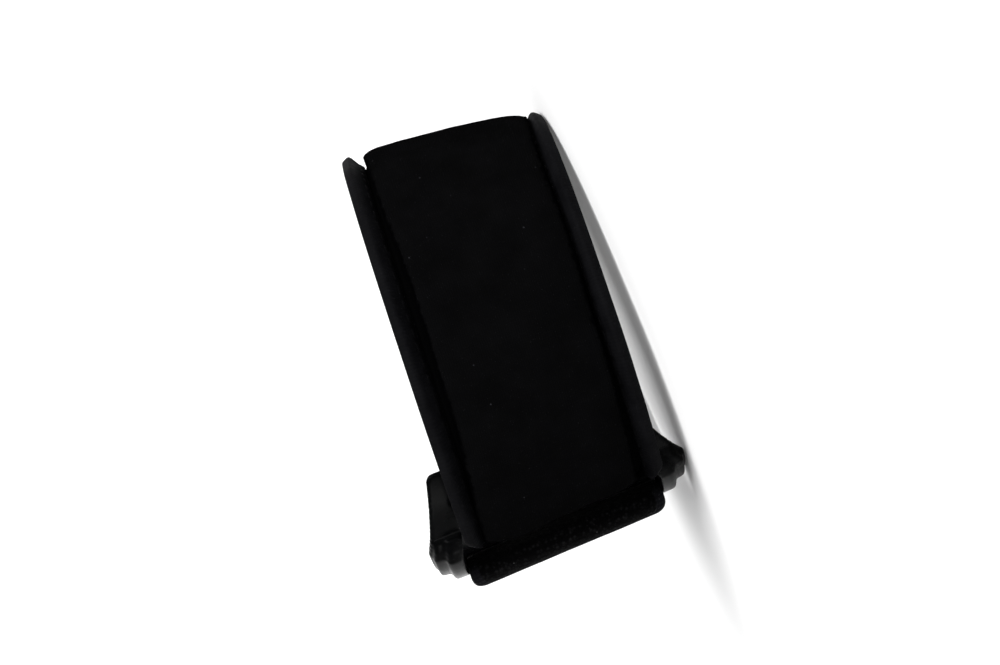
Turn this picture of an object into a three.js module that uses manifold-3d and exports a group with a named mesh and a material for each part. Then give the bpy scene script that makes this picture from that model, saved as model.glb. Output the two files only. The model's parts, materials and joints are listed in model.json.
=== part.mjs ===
import * as THREE from "three";
import { mergeVertices } from "three/addons/utils/BufferGeometryUtils.js";
import Module from "manifold-3d";

// A padded counterforce strap with a slip buckle, closed to the size it is worn at and
// lying by itself on its narrow edge. Lengths are in millimetres and +Z is up.
//
// Each piece is drawn flat in strap coordinates and then bent round a tapered oval:
//   across  from the middle of the band towards its narrow edge
//   depth   outwards from the inner face of the band
//   along   round the loop, from the middle of the front towards the buckle

// Loop
const loopLong = 90.8; // inner oval at the middle of the band's width
const loopShort = 81;
const taperDeg = 4.4; // how far each side leans in towards the narrow edge
const gap = 0.3; // clearance between pieces that touch

// Padded band
const bandWidth = 50;
const bandThick = 3.2;
const bandFront = 42.5; // from the middle of the front to the end over the buckle
const bandBack = 168; // from the middle of the front the other way to the far end
const bandCorner = 2.6; // radius of its corners
const liftRun = 15; // length over which it climbs onto the buckle's tab

// Bound rims of the band
const bindingThick = 0.7;
const bindingCover = 5; // how far the tape reaches in from the edge
const rimRise = 3.3; // how far the ridge turns outwards
const rimRun = 3.4; // from the foot of the groove to the ridge
const rimFlatRun = 22; // length over which the ridge lies down before the strap's end

// Outer panel
const panelMargin = 5.9; // from the edge of the band to the side of the panel
const panelThick = 3.8;
const panelBevel = 1.4; // of its lower edges, clear of the rims
const panelCorner = 1.6;
const panelDrift = 1.2; // how far it wanders off the middle of the band

// Closing strap
const strapWidth = 50;
const strapThick = 1.8;
const sewnLap = 28; // length sewn to the far end of the band
const freeLap = 38; // how far the free end passes the far end of the band
const endMargin = 8; // bare band between the free end and the panel
const strapDip = 0.3; // its inner face between the buckle and the band
const freeEndCorner = 12;
const foldSlack = 0.95; // how loosely it turns round the bar
const foldCorner = 2.5; // radius by which its edges draw in on the outside of the turn
const foldCornerRun = 12; // length over which they spread again

// Buckle
const buckleWidth = 66;
const buckleShift = -1.4; // it sits off the middle, towards the wide edge
const plateThick = 1.4;
const plateTuck = 17.5; // how far the plate reaches under the band
const plateCorner = 4; // radius at its lower end
const plateTopCorner = 1.5; // and at its upper end, under the band
const cheekStart = 1.5; // past the end of the band
const cheekWidth = 6.9;
const cheekInset = 0.8; // in from the plate's edge
const barReach = 20.5; // from the end of the band to the turn of the strap
const barThick = 1.8;
const barWidth = 6.2;
const plateEnd = 5; // how far the plate passes the turn of the strap
const cheekEnd = 5.5; // how far the cheeks pass it
const neckLean = 0.1; // how far the plate's neck leans to the wide edge, for each mm up

// Webbing tab that holds the buckle
const tabWidth = 42;
const tabThick = 0.9;
const tabSewn = 12.5; // length sewn under the band
const slotMargin = 1; // clearance at each end of its slot

// Stations
const pitch = 4.3; // between the rings of points of a long piece
const shortPitch = 3; // and of a moulded one
const cheekPitch = 2;
const cornerTurns = [0, 30, 60, 90]; // degrees, the rings in a rounded corner
const strapTurnSteps = 8; // rings where the strap turns round the bar
const tabTurnSteps = 6; // and where the tab turns through the plate

// Sides of the rounded edges
const noseSteps = 4; // of the tape
const hiddenSteps = 2; // under the tape
const barSteps = 6; // of the bar

// How far a cutting solid passes the faces that it goes through
const cutPast = 1.4;

// Places that follow from the sizes
const half = bandWidth / 2;
const panelHalf = half - panelMargin;
const nose = bandThick / 2; // radius of the bound edge
const loop = new THREE.EllipseCurve(
  0, 0, loopLong / 2, loopShort / 2, -Math.PI / 2, -Math.PI * 2.5, true);
loop.arcLengthDivisions = 2000;
const loopLength = loop.getLength();
const lean = Math.tan(THREE.MathUtils.degToRad(taperDeg));
const farEnd = loopLength - bandBack;
const panelBack = bandBack - freeLap - endMargin;
const plateStart = bandFront - plateTuck;
const turnAt = bandFront + barReach;
const passDepth = plateThick + gap + strapThick / 2; // middle of the strap under the bar
const barDepth = passDepth + strapThick / 2 + gap + barThick / 2;
const turnRadius = (barThick + strapThick) / 2 + gap + foldSlack;
const plateLength = turnAt + plateEnd - plateStart;
const tabStart = plateStart - tabSewn;
const sewnLift = 2 * (tabThick + gap);
const plateLift = plateThick + tabThick + 2 * gap;

// Half width of the buckle's plate, as shares of its length and of half its width
const plateOutline = [
  { at: 0, wide: 0.755 },
  { at: 0.21, wide: 0.84 },
  { at: 0.43, wide: 0.935 },
  { at: 0.57, wide: 1 },
  { at: 1, wide: 1 },
];
const plateFullFrom = plateOutline.at(-2).at;
const plateFullTo = 1 - plateCorner / plateLength;

// Height of a cheek, as shares of its length and of its full height
const cheekProfile = [
  { at: 0, high: 0.5 },
  { at: 0.1, high: 0.85 },
  { at: 0.22, high: 1 },
  { at: 0.9, high: 1 },
  { at: 1, high: 0.62 },
];

// Section of a cheek, from its inner to its outer side, with a step halfway
const cheekSection = [
  { out: 0, up: 0 },
  { out: 1, up: 0 },
  { out: 1, up: 0.46 },
  { out: 0.93, up: 0.56 },
  { out: 0.62, up: 0.6 },
  { out: 0.56, up: 0.9 },
  { out: 0.42, up: 0.99 },
  { out: 0, up: 1 },
];

// Crown of the panel, as shares of half its width and of its thickness
const panelCrown = [
  { out: 1, up: 0.5 },
  { out: 0.93, up: 0.68 },
  { out: 0.8, up: 0.84 },
  { out: 0.6, up: 0.95 },
  { out: 0.2, up: 1 },
  { out: -0.5, up: 0.99 },
  { out: -0.8, up: 0.93 },
  { out: -0.91, up: 0.82 },
  { out: -0.975, up: 0.66 },
  { out: -1, up: 0.5 },
];

// Where the panel wanders, as shares of its drift, and its width, as shares of its own
const panelWander = [
  { at: -panelBack, shift: 0, wide: 1 },
  { at: -0.5 * panelBack, shift: 0.75, wide: 1.07 },
  { at: -0.3 * panelBack, shift: 0.5, wide: 1.02 },
  { at: -0.14 * panelBack, shift: 1, wide: 1 },
  { at: 0.2 * bandFront, shift: 0.55, wide: 0.985 },
  { at: bandFront, shift: -1, wide: 1.02 },
];

// Height of the panel above the band as its ends are neared, in shares of its corner
const panelEnds = [
  { at: 0, high: 0.72 },
  { at: 0.4, high: 0.93 },
  { at: 1, high: 1 },
];

const wasm = await Module();
wasm.setup();

// The value of a table's column at a place, eased between its rows or in straight lines
function tableAt(rows, column, at, between = THREE.MathUtils.smoothstep) {
  const next = rows.findIndex((row) => row.at > at);
  if (next < 0) return rows.at(-1)[column];
  if (next === 0) return rows[0][column];
  const [a, b] = [rows[next - 1], rows[next]];
  const share = between(at, a.at, b.at);
  return THREE.MathUtils.lerp(a[column], b[column], share);
}

const straight = (at, from, to) => (at - from) / (to - from);

// A point in strap coordinates, bent round the loop
function onLoop(across, depth, along) {
  const share = THREE.MathUtils.euclideanModulo(along / loopLength, 1);
  const foot = loop.getPointAt(share);
  const way = loop.getTangentAt(share);
  const out = depth - across * lean;
  return new THREE.Vector3(foot.x - way.y * out, foot.y + way.x * out, -across);
}

// A geometry whose points are moved, reduced to one closed skin
function bend(geometry, place) {
  const spots = geometry.attributes.position;
  for (let i = 0; i < spots.count; i++) {
    const [across, depth, along] = place(spots.getX(i), spots.getY(i), spots.getZ(i));
    const spot = onLoop(across, depth, along);
    spots.setXYZ(i, spot.x, spot.y, spot.z);
  }
  geometry.deleteAttribute("normal");
  geometry.deleteAttribute("uv");
  return mergeVertices(geometry, 1e-4);
}

// A section repeated at each station and bent round the loop
function strip(section, stations, place) {
  const steps = stations.length - 1;
  const flat = new THREE.ExtrudeGeometry(new THREE.Shape(section), {
    depth: steps,
    steps,
    bevelEnabled: false,
  });
  return bend(flat, (x, y, z) => place(x, y, stations[Math.round(z)]));
}

// Stations from one place to another, closer together in its rounded corners
function stationsFor(from, to, spacing, cornerFrom = 0, cornerTo = 0) {
  const inCorner = (radius) =>
    (radius > 0 ? cornerTurns : [90]).map((turn) =>
      radius * (1 - Math.cos(THREE.MathUtils.degToRad(turn))));
  const start = from + cornerFrom;
  const length = to - cornerTo - start;
  const count = Math.max(1, Math.round(length / spacing));
  const between = Array.from({ length: count - 1 }, (_, i) => start + (length * (i + 1)) / count);
  return [
    ...inCorner(cornerFrom).map((step) => from + step),
    ...between,
    ...inCorner(cornerTo).reverse().map((step) => to - step),
  ];
}

// How far a rounded corner draws an edge in, at a distance from the end
function cornerPull(distance, radius) {
  if (distance >= radius) return 0;
  return radius - Math.sqrt(radius ** 2 - (radius - distance) ** 2);
}

// Points of an arc in a section, between two angles in degrees
function arcPoints(x, y, radius, fromDeg, toDeg, steps) {
  return Array.from({ length: steps + 1 }, (_, i) => {
    const turn = THREE.MathUtils.degToRad(fromDeg + ((toDeg - fromDeg) * i) / steps);
    return new THREE.Vector2(x + radius * Math.cos(turn), y + radius * Math.sin(turn));
  });
}

function mirrored(points) {
  return points.map((p) => new THREE.Vector2(-p.x, p.y)).reverse();
}

function solidOf(geometry) {
  return new wasm.Manifold(new wasm.Mesh({
    numProp: 3,
    vertProperties: new Float32Array(geometry.attributes.position.array),
    triVerts: new Uint32Array(geometry.index.array),
  }));
}

function geometryOf(solid) {
  const { vertProperties, triVerts } = solid.getMesh();
  return new THREE.BufferGeometry()
    .setAttribute("position", new THREE.BufferAttribute(vertProperties, 3))
    .setIndex(new THREE.BufferAttribute(triVerts, 1));
}

// How far the band and what it carries stand off the inner face near the buckle
function liftAt(along) {
  return tableAt([
    { at: tabStart - liftRun, rise: 0 },
    { at: tabStart - gap, rise: sewnLift },
    { at: plateStart, rise: plateLift },
  ], "rise", along);
}

// How far the rim turns outwards at a distance across the band
function flareAt(across, along) {
  const ridge = half - nose;
  const flatAt = freeLap - bandBack;
  const upright = THREE.MathUtils.smoothstep(along, flatAt, flatAt + rimFlatRun);
  return rimRise * upright * THREE.MathUtils.smoothstep(Math.abs(across), ridge - rimRun, ridge);
}

// Places a point of the band or its binding: the rim flares and its corners are rounded
function onBand(x, y, along) {
  const foot = half - bindingCover - gap;
  const end = Math.min(bandFront - along, along + bandBack);
  const kept = 1 - cornerPull(end, bandCorner) / (half - foot);
  const across = Math.sign(x) * (foot + (Math.abs(x) - foot) * kept);
  return [across, y + liftAt(along) + flareAt(x, along), along];
}

const bandStations = stationsFor(-bandBack, bandFront, pitch, bandCorner, bandCorner);

// The padded band, thinner where the tape covers its edges
function baseBand() {
  const foot = half - bindingCover - gap;
  const ridge = half - nose;
  const bite = bindingThick + gap;
  const middle = (foot + ridge) / 2;
  const edge = [
    new THREE.Vector2(foot, 0),
    new THREE.Vector2(foot, bite),
    new THREE.Vector2(middle, bite),
    ...arcPoints(ridge, nose, nose - bite, -90, 90, hiddenSteps),
    new THREE.Vector2(middle, bandThick - bite),
    new THREE.Vector2(foot, bandThick - bite),
    new THREE.Vector2(foot, bandThick),
  ];
  return strip([...edge, ...mirrored(edge)], bandStations, onBand);
}

// The tape folded round one edge of the band; side is 1 at the narrow edge, -1 at the wide one
function edgeBinding(side) {
  const foot = half - bindingCover;
  const ridge = half - nose;
  const middle = (foot - gap + ridge) / 2;
  const section = [
    new THREE.Vector2(foot, 0),
    new THREE.Vector2(middle, 0),
    ...arcPoints(ridge, nose, nose, -90, 90, noseSteps),
    new THREE.Vector2(middle, bandThick),
    new THREE.Vector2(foot, bandThick),
    new THREE.Vector2(foot, bandThick - bindingThick),
    new THREE.Vector2(middle, bandThick - bindingThick),
    ...arcPoints(ridge, nose, nose - bindingThick, 90, -90, hiddenSteps),
    new THREE.Vector2(middle, bindingThick),
    new THREE.Vector2(foot, bindingThick),
  ];
  return strip(side > 0 ? section : mirrored(section), bandStations, onBand);
}

// The raised panel on the outside of the band
function outerPanel() {
  const reach = panelHalf;
  const section = [
    new THREE.Vector2(panelBevel - reach, 0),
    new THREE.Vector2(reach - panelBevel, 0),
    ...panelCrown.map((row) => new THREE.Vector2(row.out * reach, row.up * panelThick)),
  ];
  const stations = stationsFor(-panelBack, bandFront, pitch, panelCorner, panelCorner);
  return strip(section, stations, (x, y, along) => {
    const end = Math.min(bandFront - along, along + panelBack);
    const shift = panelDrift * tableAt(panelWander, "shift", along);
    const wide = tableAt(panelWander, "wide", along);
    const across = shift + x * wide - Math.sign(x) * cornerPull(end, panelCorner);
    const high = y * tableAt(panelEnds, "high", end / panelCorner);
    return [across, bandThick + gap + high + liftAt(along), along];
  });
}

// The middle line of the closing strap, in along and depth: from its sewn end to the
// buckle, under the bar and round it, and back over itself to the free end
function strapRoute() {
  const onto = bandThick + gap + strapThick / 2;
  const low = strapDip + strapThick / 2;
  const ply = strapThick + gap;
  const mid = (farEnd + turnAt + barWidth) / 2;
  const ease = (farEnd - mid) / 2;
  const nearEase = (mid - turnAt) / 2;
  const route = new THREE.Path();
  route.moveTo(farEnd + sewnLap, onto);
  route.lineTo(farEnd, onto);
  route.bezierCurveTo(farEnd - ease, onto, mid + ease, low, mid, low);
  route.bezierCurveTo(mid - nearEase, low, turnAt + nearEase, passDepth, turnAt, passDepth);
  route.absarc(turnAt, passDepth + turnRadius, turnRadius, -Math.PI / 2, -Math.PI * 1.5, true);
  const top = passDepth + 2 * turnRadius;
  route.bezierCurveTo(turnAt + nearEase, top, mid - nearEase, low + ply, mid, low + ply);
  route.bezierCurveTo(mid + ease, low + ply, farEnd - ease, onto + ply, farEnd, onto + ply);
  const end = farEnd + freeLap;
  const last = farEnd + sewnLap;
  const settle = (end - last) / 2;
  route.lineTo(last, onto + ply);
  route.bezierCurveTo(last + settle, onto + ply, end - settle, onto, end, onto);
  return route;
}

// Distances along the strap's route, closer together in the turn and at the free end
function strapStations(route) {
  const turnStart = route.curves.slice(0, 3).reduce((sum, part) => sum + part.getLength(), 0);
  const turnLength = Math.PI * turnRadius;
  const length = route.getLength();
  return [
    ...stationsFor(0, turnStart, pitch),
    ...stationsFor(turnStart, turnStart + turnLength, turnLength / strapTurnSteps).slice(1),
    ...stationsFor(turnStart + turnLength, length, pitch, 0, freeEndCorner).slice(1),
  ];
}

// A webbing section as wide and thick as asked, with rounded edges
function webbingSection(width, thick) {
  const edge = [
    new THREE.Vector2(width / 2 - thick / 2, -thick / 2),
    new THREE.Vector2(width / 2, 0),
    new THREE.Vector2(width / 2 - thick / 2, thick / 2),
  ];
  return [...edge, ...mirrored(edge)];
}

// A point of a section that rides on a route
function onRoute(route, y, distance) {
  const share = distance / route.getLength();
  const foot = route.getPointAt(share);
  const way = route.getTangentAt(share);
  return { along: foot.x - way.y * y, depth: foot.y + way.x * y };
}

// How far the strap's edges draw in on the outside of its turn
function foldPull(spot) {
  const outside = passDepth + 2 * turnRadius + strapThick / 2;
  const spread = THREE.MathUtils.smoothstep(spot.along, turnAt, turnAt + foldCornerRun);
  return (1 - spread) * cornerPull(Math.max(0, outside - spot.depth), foldCorner);
}

function closingStrap() {
  const route = strapRoute();
  const stations = strapStations(route);
  return strip(webbingSection(strapWidth, strapThick), stations, (x, y, distance) => {
    const spot = onRoute(route, y, distance);
    const pull = cornerPull(route.getLength() - distance, freeEndCorner) + foldPull(spot);
    const shift = buckleShift * THREE.MathUtils.smoothstep(farEnd - spot.along, 0, farEnd - turnAt);
    return [shift + x - Math.sign(x) * pull, spot.depth, spot.along];
  });
}

// Half the width of the buckle's plate, with its corners
function plateHalfAt(along) {
  const reach = along - plateStart;
  return (buckleWidth / 2) * tableAt(plateOutline, "wide", reach / plateLength, straight)
    - cornerPull(reach, plateTopCorner)
    - cornerPull(plateLength - reach, plateCorner);
}

// The middle of the plate, whose neck leans towards the wide edge
function plateMiddleAt(along) {
  const fullFrom = plateStart + plateFullFrom * plateLength;
  return buckleShift - neckLean * Math.max(0, fullFrom - along);
}

const plateStations = stationsFor(
  plateStart, plateStart + plateLength, shortPitch, plateTopCorner, plateCorner);
const unitBox = [
  new THREE.Vector2(-1, 0),
  new THREE.Vector2(1, 0),
  new THREE.Vector2(1, 1),
  new THREE.Vector2(-1, 1),
];

// The slot in the plate that the tab passes through, as a solid to cut away
function tabSlot() {
  const turn = tabTurn();
  const stations = [turn.along, turn.along + turn.radius + tabThick / 2 + gap];
  return strip(unitBox, stations, (x, y, along) => [
    plateMiddleAt(turn.along) + x * (tabWidth / 2 + slotMargin),
    y * plateThick + (2 * y - 1) * cutPast,
    along,
  ]);
}

// One raised cheek of the buckle; side is 1 at the narrow edge, -1 at the wide one
function cheek(side) {
  const start = bandFront + cheekStart;
  const end = turnAt + cheekEnd;
  const outline = cheekSection.map((row) => new THREE.Vector2(row.out, row.up));
  const root = plateThick / 2;
  const height = barDepth + barThick / 2 - root;
  const place = (x, y, along) => {
    const held = Math.min(along, turnAt + plateEnd - plateCorner);
    const outer = plateHalfAt(held) - cheekInset;
    const high = tableAt(cheekProfile, "high", (along - start) / (end - start), straight);
    const out = outer - cheekWidth * (1 - Math.abs(x));
    return [plateMiddleAt(held) + side * out, root + y * high * height, along];
  };
  return strip(side > 0 ? outline : mirrored(outline), stationsFor(start, end, cheekPitch), place);
}

// The bar that the strap turns round, from cheek to cheek
function turnBar() {
  const span = buckleWidth / 2 - cheekInset - cheekWidth / 2;
  const radius = barThick / 2;
  const section = [
    ...arcPoints(barDepth, turnAt, radius, -180, 0, barSteps),
    ...arcPoints(barDepth, turnAt + barWidth - barThick, radius, 0, 180, barSteps),
  ];
  const flat = new THREE.ExtrudeGeometry(new THREE.Shape(section), {
    depth: 2 * span,
    bevelEnabled: false,
  });
  return bend(flat, (depth, along, across) => [buckleShift + across - span, depth, along]);
}

function buckle() {
  const plate = solidOf(strip(unitBox, plateStations, (x, y, along) => [
    plateMiddleAt(along) + x * plateHalfAt(along),
    y * plateThick,
    along,
  ]));
  const frame = plate
    .subtract(solidOf(tabSlot()))
    .add(solidOf(cheek(1)))
    .add(solidOf(cheek(-1)))
    .add(solidOf(turnBar()));
  return geometryOf(frame);
}

// The turn of the tab round the top of the plate
function tabTurn() {
  const radius = plateThick / 2 + gap + tabThick / 2;
  return { radius, along: bandFront - plateTuck / 2 - radius, depth: plateThick / 2 };
}

// The webbing tab: sewn under the band, through the plate's slot and back under the plate
function buckleTab() {
  const turn = tabTurn();
  const upper = tabThick * 1.5 + gap;
  const lower = tabThick / 2;
  const blend = tabSewn / 2;
  const joined = plateStart - blend;
  const top = turn.depth + turn.radius;
  const bottom = turn.depth - turn.radius;
  const route = new THREE.Path();
  route.moveTo(tabStart, upper);
  route.lineTo(joined, upper);
  route.bezierCurveTo(joined + blend / 2, upper, plateStart - blend / 2, top, plateStart, top);
  route.lineTo(turn.along, top);
  route.absarc(turn.along, turn.depth, turn.radius, Math.PI / 2, -Math.PI / 2, true);
  route.lineTo(plateStart, bottom);
  route.bezierCurveTo(plateStart - blend / 2, bottom, joined + blend / 2, lower, joined, lower);
  route.lineTo(tabStart, lower);
  const lengths = route.curves.map((part) => part.getLength());
  let from = 0;
  const stations = [0];
  lengths.forEach((length, i) => {
    const spacing = route.curves[i].isEllipseCurve ? length / tabTurnSteps : shortPitch;
    stations.push(...stationsFor(from, from + length, spacing).slice(1));
    from += length;
  });
  const section = [
    new THREE.Vector2(-tabWidth / 2, -tabThick / 2),
    new THREE.Vector2(tabWidth / 2, -tabThick / 2),
    new THREE.Vector2(tabWidth / 2, tabThick / 2),
    new THREE.Vector2(-tabWidth / 2, tabThick / 2),
  ];
  return strip(section, stations, (x, y, distance) => {
    const spot = onRoute(route, y, distance);
    return [plateMiddleAt(turn.along) + x, spot.depth, spot.along];
  });
}

// Materials
const fabric = (color, roughness) =>
  new THREE.MeshStandardMaterial({ color, roughness, metalness: 0 });
const panelCloth = fabric(0x111216, 0.85);
const bandFoam = fabric(0x18181b, 0.95);
const bindingTape = fabric(0x1c1d22, 0.8);
const loopCloth = fabric(0x1d1d20, 1);
const webbing = fabric(0x151518, 0.8);
const plastic = new THREE.MeshStandardMaterial({ color: 0x0d0e10, roughness: 0.3, metalness: 0 });

// Turns the fastened strap from upright to the way it lies: on the two ends of the
// plate's lower edge and on the rim at the far side
function layDown(group) {
  const lowest = buckleShift + buckleWidth / 2;
  const ends = [plateFullFrom, plateFullTo].map((share) =>
    onLoop(lowest, 0, plateStart + share * plateLength));
  const up = new THREE.Vector3(0, 0, 1);
  const toPlate = ends[1].clone().sub(ends[0]).cross(up).normalize();
  if (toPlate.dot(ends[0]) < 0) toPlate.negate();
  const rim = bandStations.map((along) =>
    onLoop(half, nose + liftAt(along) + flareAt(half, along), along).dot(toPlate));
  const span = ends[0].dot(toPlate) - Math.min(...rim);
  const angle = Math.atan2(lowest - half, span);
  group.rotateOnAxis(toPlate.clone().cross(up), angle);
  group.updateMatrixWorld(true);
  const box = new THREE.Box3().setFromObject(group, true);
  const middle = box.getCenter(new THREE.Vector3());
  group.position.set(-middle.x, -middle.y, -box.min.z);
}

const group = new THREE.Group();
const pieces = [
  ["base_band", baseBand(), bandFoam],
  ["edge_binding_narrow", edgeBinding(1), bindingTape],
  ["edge_binding_wide", edgeBinding(-1), bindingTape],
  ["outer_panel", outerPanel(), panelCloth],
  ["closing_strap", closingStrap(), loopCloth],
  ["buckle", buckle(), plastic],
  ["buckle_tab", buckleTab(), webbing],
];
for (const [name, geometry, material] of pieces) {
  const mesh = new THREE.Mesh(geometry, material);
  mesh.name = name;
  group.add(mesh);
}
layDown(group);

export default group;
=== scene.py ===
"""A padded counterforce strap with a slip buckle, lying closed on a pale floor.

Lengths are in millimetres, and go to metres when a mesh is made. Each piece is drawn flat,
in strap coordinates, and bent round the tapered oval of the loop:
    across  from the middle of the band towards its narrow edge
    depth   outwards from the inner face of the band
    along   round the loop, from the middle of the front towards the buckle
"""

import json
import math

import bmesh
import bpy
import numpy as np
from mathutils import Matrix, Vector, noise


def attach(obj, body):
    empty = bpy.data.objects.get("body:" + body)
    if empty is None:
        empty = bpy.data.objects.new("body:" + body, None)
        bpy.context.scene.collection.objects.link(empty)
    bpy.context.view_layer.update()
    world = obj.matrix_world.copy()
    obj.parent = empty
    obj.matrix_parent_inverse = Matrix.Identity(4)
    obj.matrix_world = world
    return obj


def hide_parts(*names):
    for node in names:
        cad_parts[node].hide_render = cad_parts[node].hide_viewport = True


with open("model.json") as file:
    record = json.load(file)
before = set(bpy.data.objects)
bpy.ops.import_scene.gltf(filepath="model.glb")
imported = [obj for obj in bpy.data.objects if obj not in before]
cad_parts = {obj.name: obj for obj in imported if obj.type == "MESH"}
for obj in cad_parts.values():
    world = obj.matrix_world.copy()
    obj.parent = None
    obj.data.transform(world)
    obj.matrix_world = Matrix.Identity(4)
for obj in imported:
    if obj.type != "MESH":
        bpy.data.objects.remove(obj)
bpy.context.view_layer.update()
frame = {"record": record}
MM = 0.001

# Loop
LOOP_LONG = 90.8
LOOP_SHORT = 81.0
LEAN = math.tan(math.radians(4.4))
GAP = 0.3
LOOP_MIDDLE = Vector((-0.239, -0.148, 28.445))  # where the middle of the loop stands at rest

# Band, rims and panel
BAND_WIDTH = 50.0
BAND_THICK = 3.2
BAND_FRONT = 42.5
BAND_BACK = 168.0
BAND_CORNER = 2.6
LIFT_RUN = 15.0
BINDING_THICK = 0.7
BINDING_COVER = 5.0
RIM_RISE = 3.3
RIM_RUN = 3.4
RIM_FLAT_RUN = 22.0
PANEL_MARGIN = 5.9
PANEL_THICK = 3.8
PANEL_BEVEL = 1.4
PANEL_CORNER = 1.6
PANEL_DRIFT = 1.2

# Closing strap
STRAP_WIDTH = 50.0
STRAP_THICK = 1.8
SEWN_LAP = 28.0
FREE_LAP = 38.0
END_MARGIN = 8.0
STRAP_DIP = 0.3
FREE_END_CORNER = 12.0
FOLD_SLACK = 0.95
FOLD_CORNER = 2.5
FOLD_CORNER_RUN = 12.0

# Buckle and its tab
BUCKLE_WIDTH = 66.0
BUCKLE_SHIFT = -1.4
PLATE_THICK = 1.4
PLATE_TUCK = 17.5
PLATE_CORNER = 4.0
PLATE_TOP_CORNER = 1.5
CHEEK_START = 1.5
CHEEK_WIDTH = 6.9
CHEEK_INSET = 0.8
BAR_REACH = 20.5
BAR_THICK = 1.8
BAR_WIDTH = 6.2
PLATE_END = 5.0
CHEEK_END = 5.5
NECK_LEAN = 0.1
TAB_WIDTH = 42.0
TAB_THICK = 0.9
TAB_SEWN = 12.5
SLOT_MARGIN = 1.0

# Softness that only the visual has
END_SQUEEZE = 0.35  # of the band's faces, where the tape is pulled tight
END_SQUEEZE_RUN = 1.5
LINING_WAVES = 0.22
PUCKER = 0.06  # of the tape at each stitch
RIM_SWAY = 0.5
RIM_RIPPLE = 0.14
RIM_PINCH = 0.5  # how much the rim narrows to its ridge
PANEL_WAVES = 0.16
PANEL_RIPPLE = 0.06
BULGE = 1.2  # of the panel's front end
BULGE_AT = -10
BULGE_WIDE = 6
BULGE_RUN = 9
STRAP_RIPPLE = 0.1
SNUG = 0.4  # how far the strap's edges press out to the cheeks
SNUG_RUN = (6, 14)  # from the strap's turn, where that begins and has ended

# Stitching
STITCH_PITCH = 3.3
STITCH_LENGTH = 2.7
STITCH_RADIUS = 0.2
STITCH_INSET = 0.7  # from the edge of the tape
STITCH_PROUD = 0.04  # of the tape, at the middle of a stitch

# Fineness of the meshes
FINE = 0.9  # between the rings of a soft piece
SECTION_STEP = 0.7  # between the points of a section
MOULD_VOXEL = 0.42

# Places that follow from the sizes
HALF = BAND_WIDTH / 2
NOSE = BAND_THICK / 2
RIDGE = HALF - NOSE
PANEL_HALF = HALF - PANEL_MARGIN
PANEL_BACK = BAND_BACK - FREE_LAP - END_MARGIN
PLATE_START = BAND_FRONT - PLATE_TUCK
TURN_AT = BAND_FRONT + BAR_REACH
PLATE_LENGTH = TURN_AT + PLATE_END - PLATE_START
PASS_DEPTH = PLATE_THICK + GAP + STRAP_THICK / 2
BAR_DEPTH = PASS_DEPTH + STRAP_THICK / 2 + GAP + BAR_THICK / 2
TURN_RADIUS = (BAR_THICK + STRAP_THICK) / 2 + GAP + FOLD_SLACK
TAB_START = PLATE_START - TAB_SEWN
PLATE_LIFT = PLATE_THICK + TAB_THICK + 2 * GAP
SEWN_LIFT = 2 * (TAB_THICK + GAP)

# Tables, as in the part's own source: a place and what it has there
PLATE_OUTLINE = ((0, 0.755), (0.21, 0.84), (0.43, 0.935), (0.57, 1), (1, 1))
CHEEK_PROFILE = ((0, 0.5), (0.1, 0.85), (0.22, 1), (0.9, 1), (1, 0.62))
CHEEK_SECTION = ((0, 0), (1, 0), (1, 0.46), (0.93, 0.56), (0.62, 0.6), (0.56, 0.9), (0.42, 0.99), (0, 1))
PANEL_CROWN = ((1, 0.5), (0.93, 0.68), (0.8, 0.84), (0.6, 0.95), (0.2, 1), (-0.5, 0.99),
               (-0.8, 0.93), (-0.91, 0.82), (-0.975, 0.66), (-1, 0.5))
PANEL_WANDER = ((-PANEL_BACK, 0), (-0.5 * PANEL_BACK, 0.75), (-0.3 * PANEL_BACK, 0.5),
                (-0.14 * PANEL_BACK, 1), (0.2 * BAND_FRONT, 0.55), (BAND_FRONT, -1))
PANEL_BREADTH = ((-PANEL_BACK, 1), (-0.5 * PANEL_BACK, 1.07), (-0.3 * PANEL_BACK, 1.02),
                 (-0.14 * PANEL_BACK, 1), (0.2 * BAND_FRONT, 0.985), (BAND_FRONT, 1.02))
LIFT = ((TAB_START - LIFT_RUN, 0), (TAB_START - GAP, SEWN_LIFT), (PLATE_START, PLATE_LIFT))

# Camera, from the photograph: distance from the loop's axis, lens and roll
CAMERA_DISTANCE = 651.6
CAMERA_LENS = 45.4
CAMERA_ZOOM = 2.1  # the small strap fills the frame, from the same place
STRAP_TILT_DEG = 18.4  # of the strap's axis to the photograph's horizontal
CAMERA_RISE_DEG = 0.7  # towards the wide edge
CAMERA_AIM = Vector((-1.6, 0, 0))
CAMERA_SHIFT = 2  # to the left and upwards, which brings the strap to the middle


def loop_table():
    """Arc length and angle round the inner oval, from the middle of the front."""
    turn = -math.pi / 2 - np.linspace(0, 2 * math.pi, 7201)
    x, y = LOOP_LONG / 2 * np.cos(turn), LOOP_SHORT / 2 * np.sin(turn)
    reach = np.concatenate([[0], np.cumsum(np.hypot(np.diff(x), np.diff(y)))])
    return reach, turn


LOOP_REACH, LOOP_TURN = loop_table()
LOOP_LENGTH = LOOP_REACH[-1]
FAR_END = LOOP_LENGTH - BAND_BACK


def rest_matrix():
    """From the loop's own frame to the row's: the mount on the buckle's edge faces down."""
    mount = next(m for m in frame["record"]["mounts"] if m["name"] == "buckle_lower_edge")
    turn = Vector((0, 0, -1)).rotation_difference(Vector(mount["axis"]))
    return Matrix.Scale(MM, 4) @ Matrix.Translation(LOOP_MIDDLE) @ turn.to_matrix().to_4x4()


REST = rest_matrix()


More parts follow.
